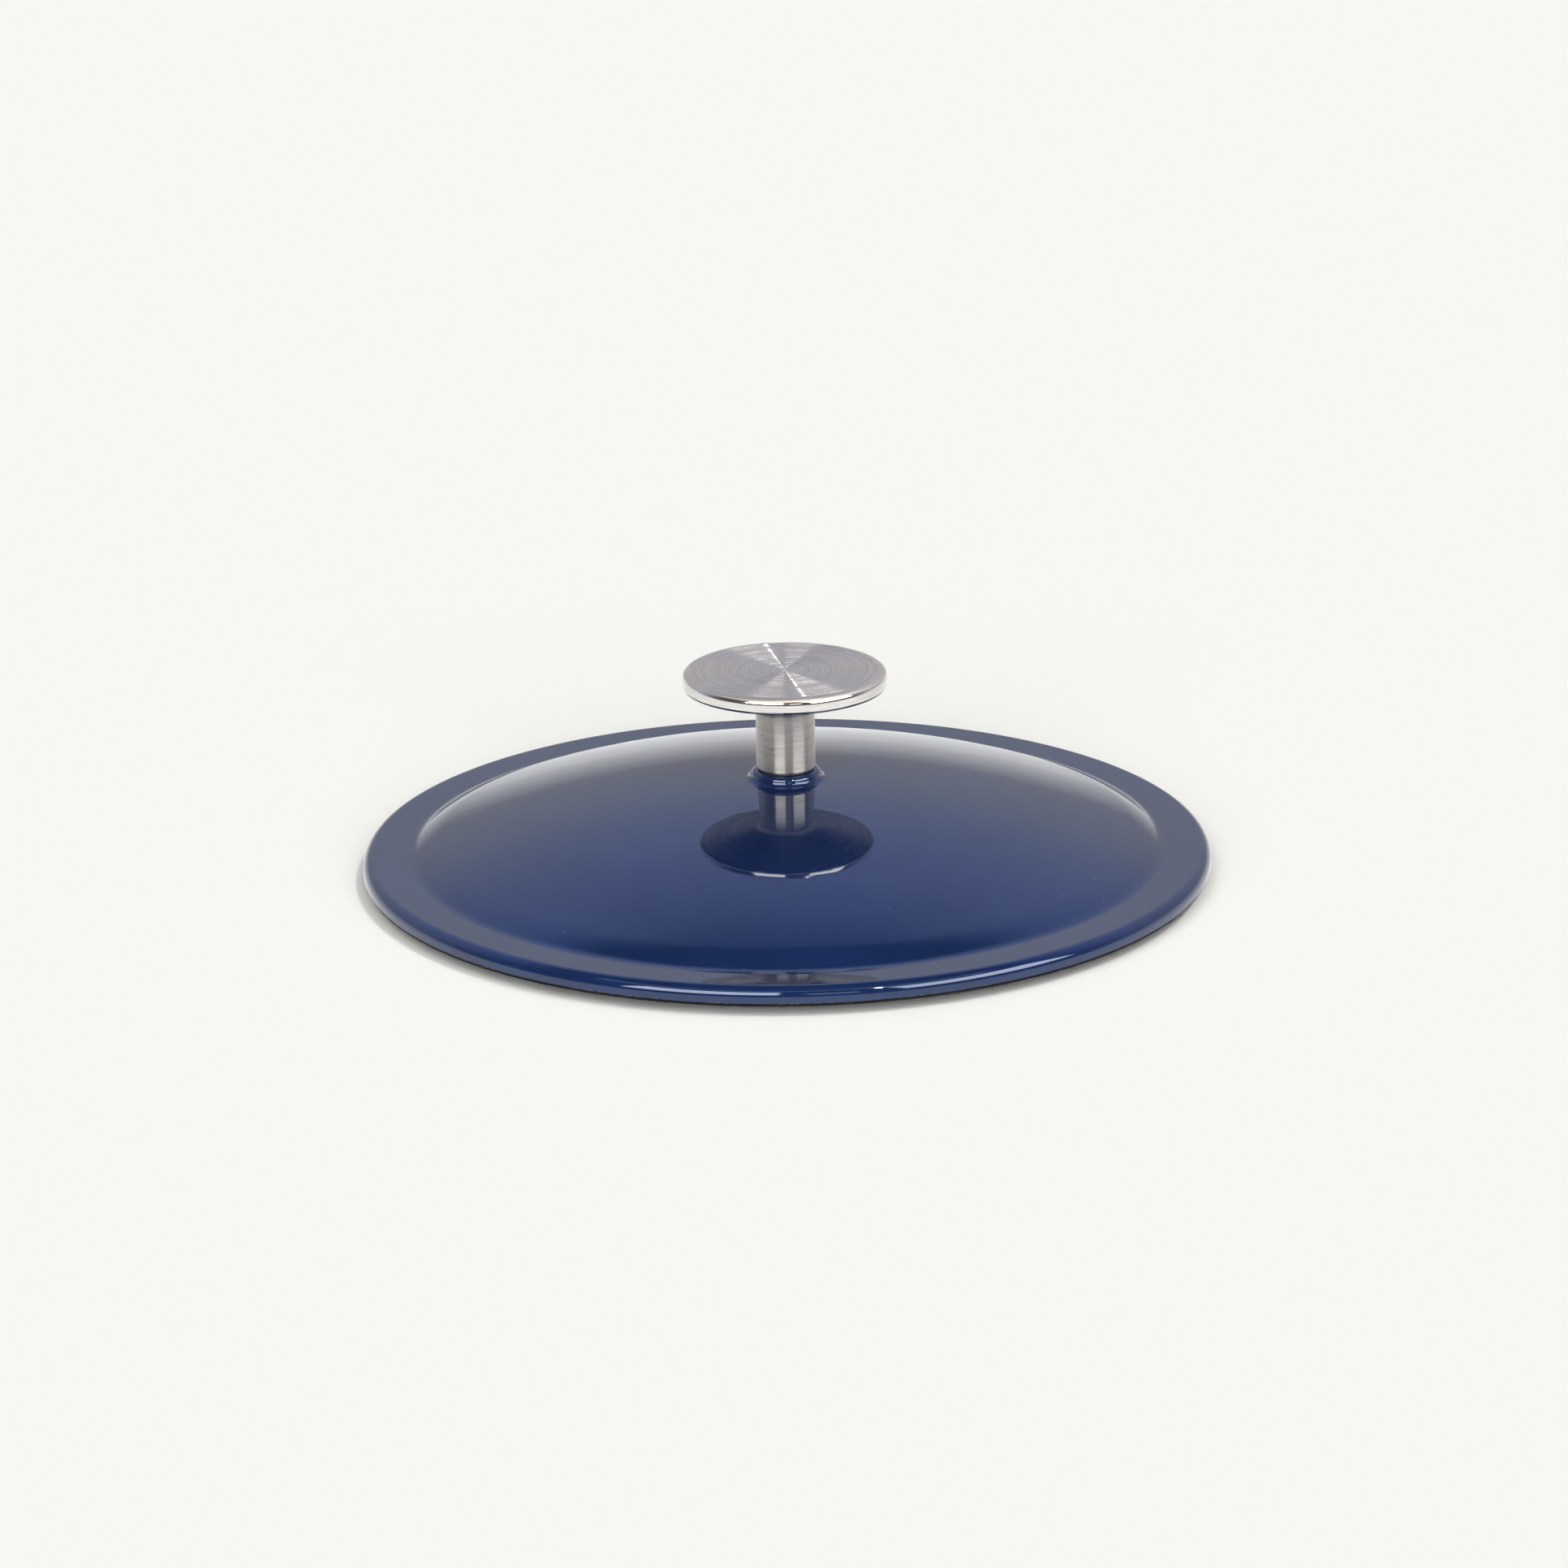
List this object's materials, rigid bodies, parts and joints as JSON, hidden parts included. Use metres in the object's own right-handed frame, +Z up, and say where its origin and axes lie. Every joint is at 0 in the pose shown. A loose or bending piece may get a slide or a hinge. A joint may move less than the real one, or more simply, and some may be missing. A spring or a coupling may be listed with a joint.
{
  "type": "dutch oven lid",
  "caption": "Round domed cast iron pot lid with a flat flange and locating lip, enamelled, with a bolted flat disc knob on a straight stem.",
  "frame": {"origin": "on the lid's own axis, in the plane that the locating lip stands on", "axes": "+Z up along the lid's axis of revolution, towards the knob; X and Y are any two directions across the lid"},
  "size_m": [0.268, 0.268, 0.067],
  "materials": {
    "iron": "cast, blackened, bare on the rim's underside and the lip",
    "navy_enamel": "glossy navy vitreous enamel",
    "inner_enamel": "glossy off-white vitreous enamel",
    "brushed_steel": "brushed in circles on the disc and round the stem, the disc's edge polished",
    "seal": "matt",
    "fastener_steel": "plain stainless fastener"
  },
  "bodies": {
    "root": {"lid_casting": "iron", "outer_enamel": "navy_enamel", "inner_enamel": "inner_enamel", "knob": "brushed_steel", "seal_washer": "seal", "flat_washer": "fastener_steel", "spring_washer": "fastener_steel", "knob_screw": "fastener_steel"}
  },
  "joints": []
}
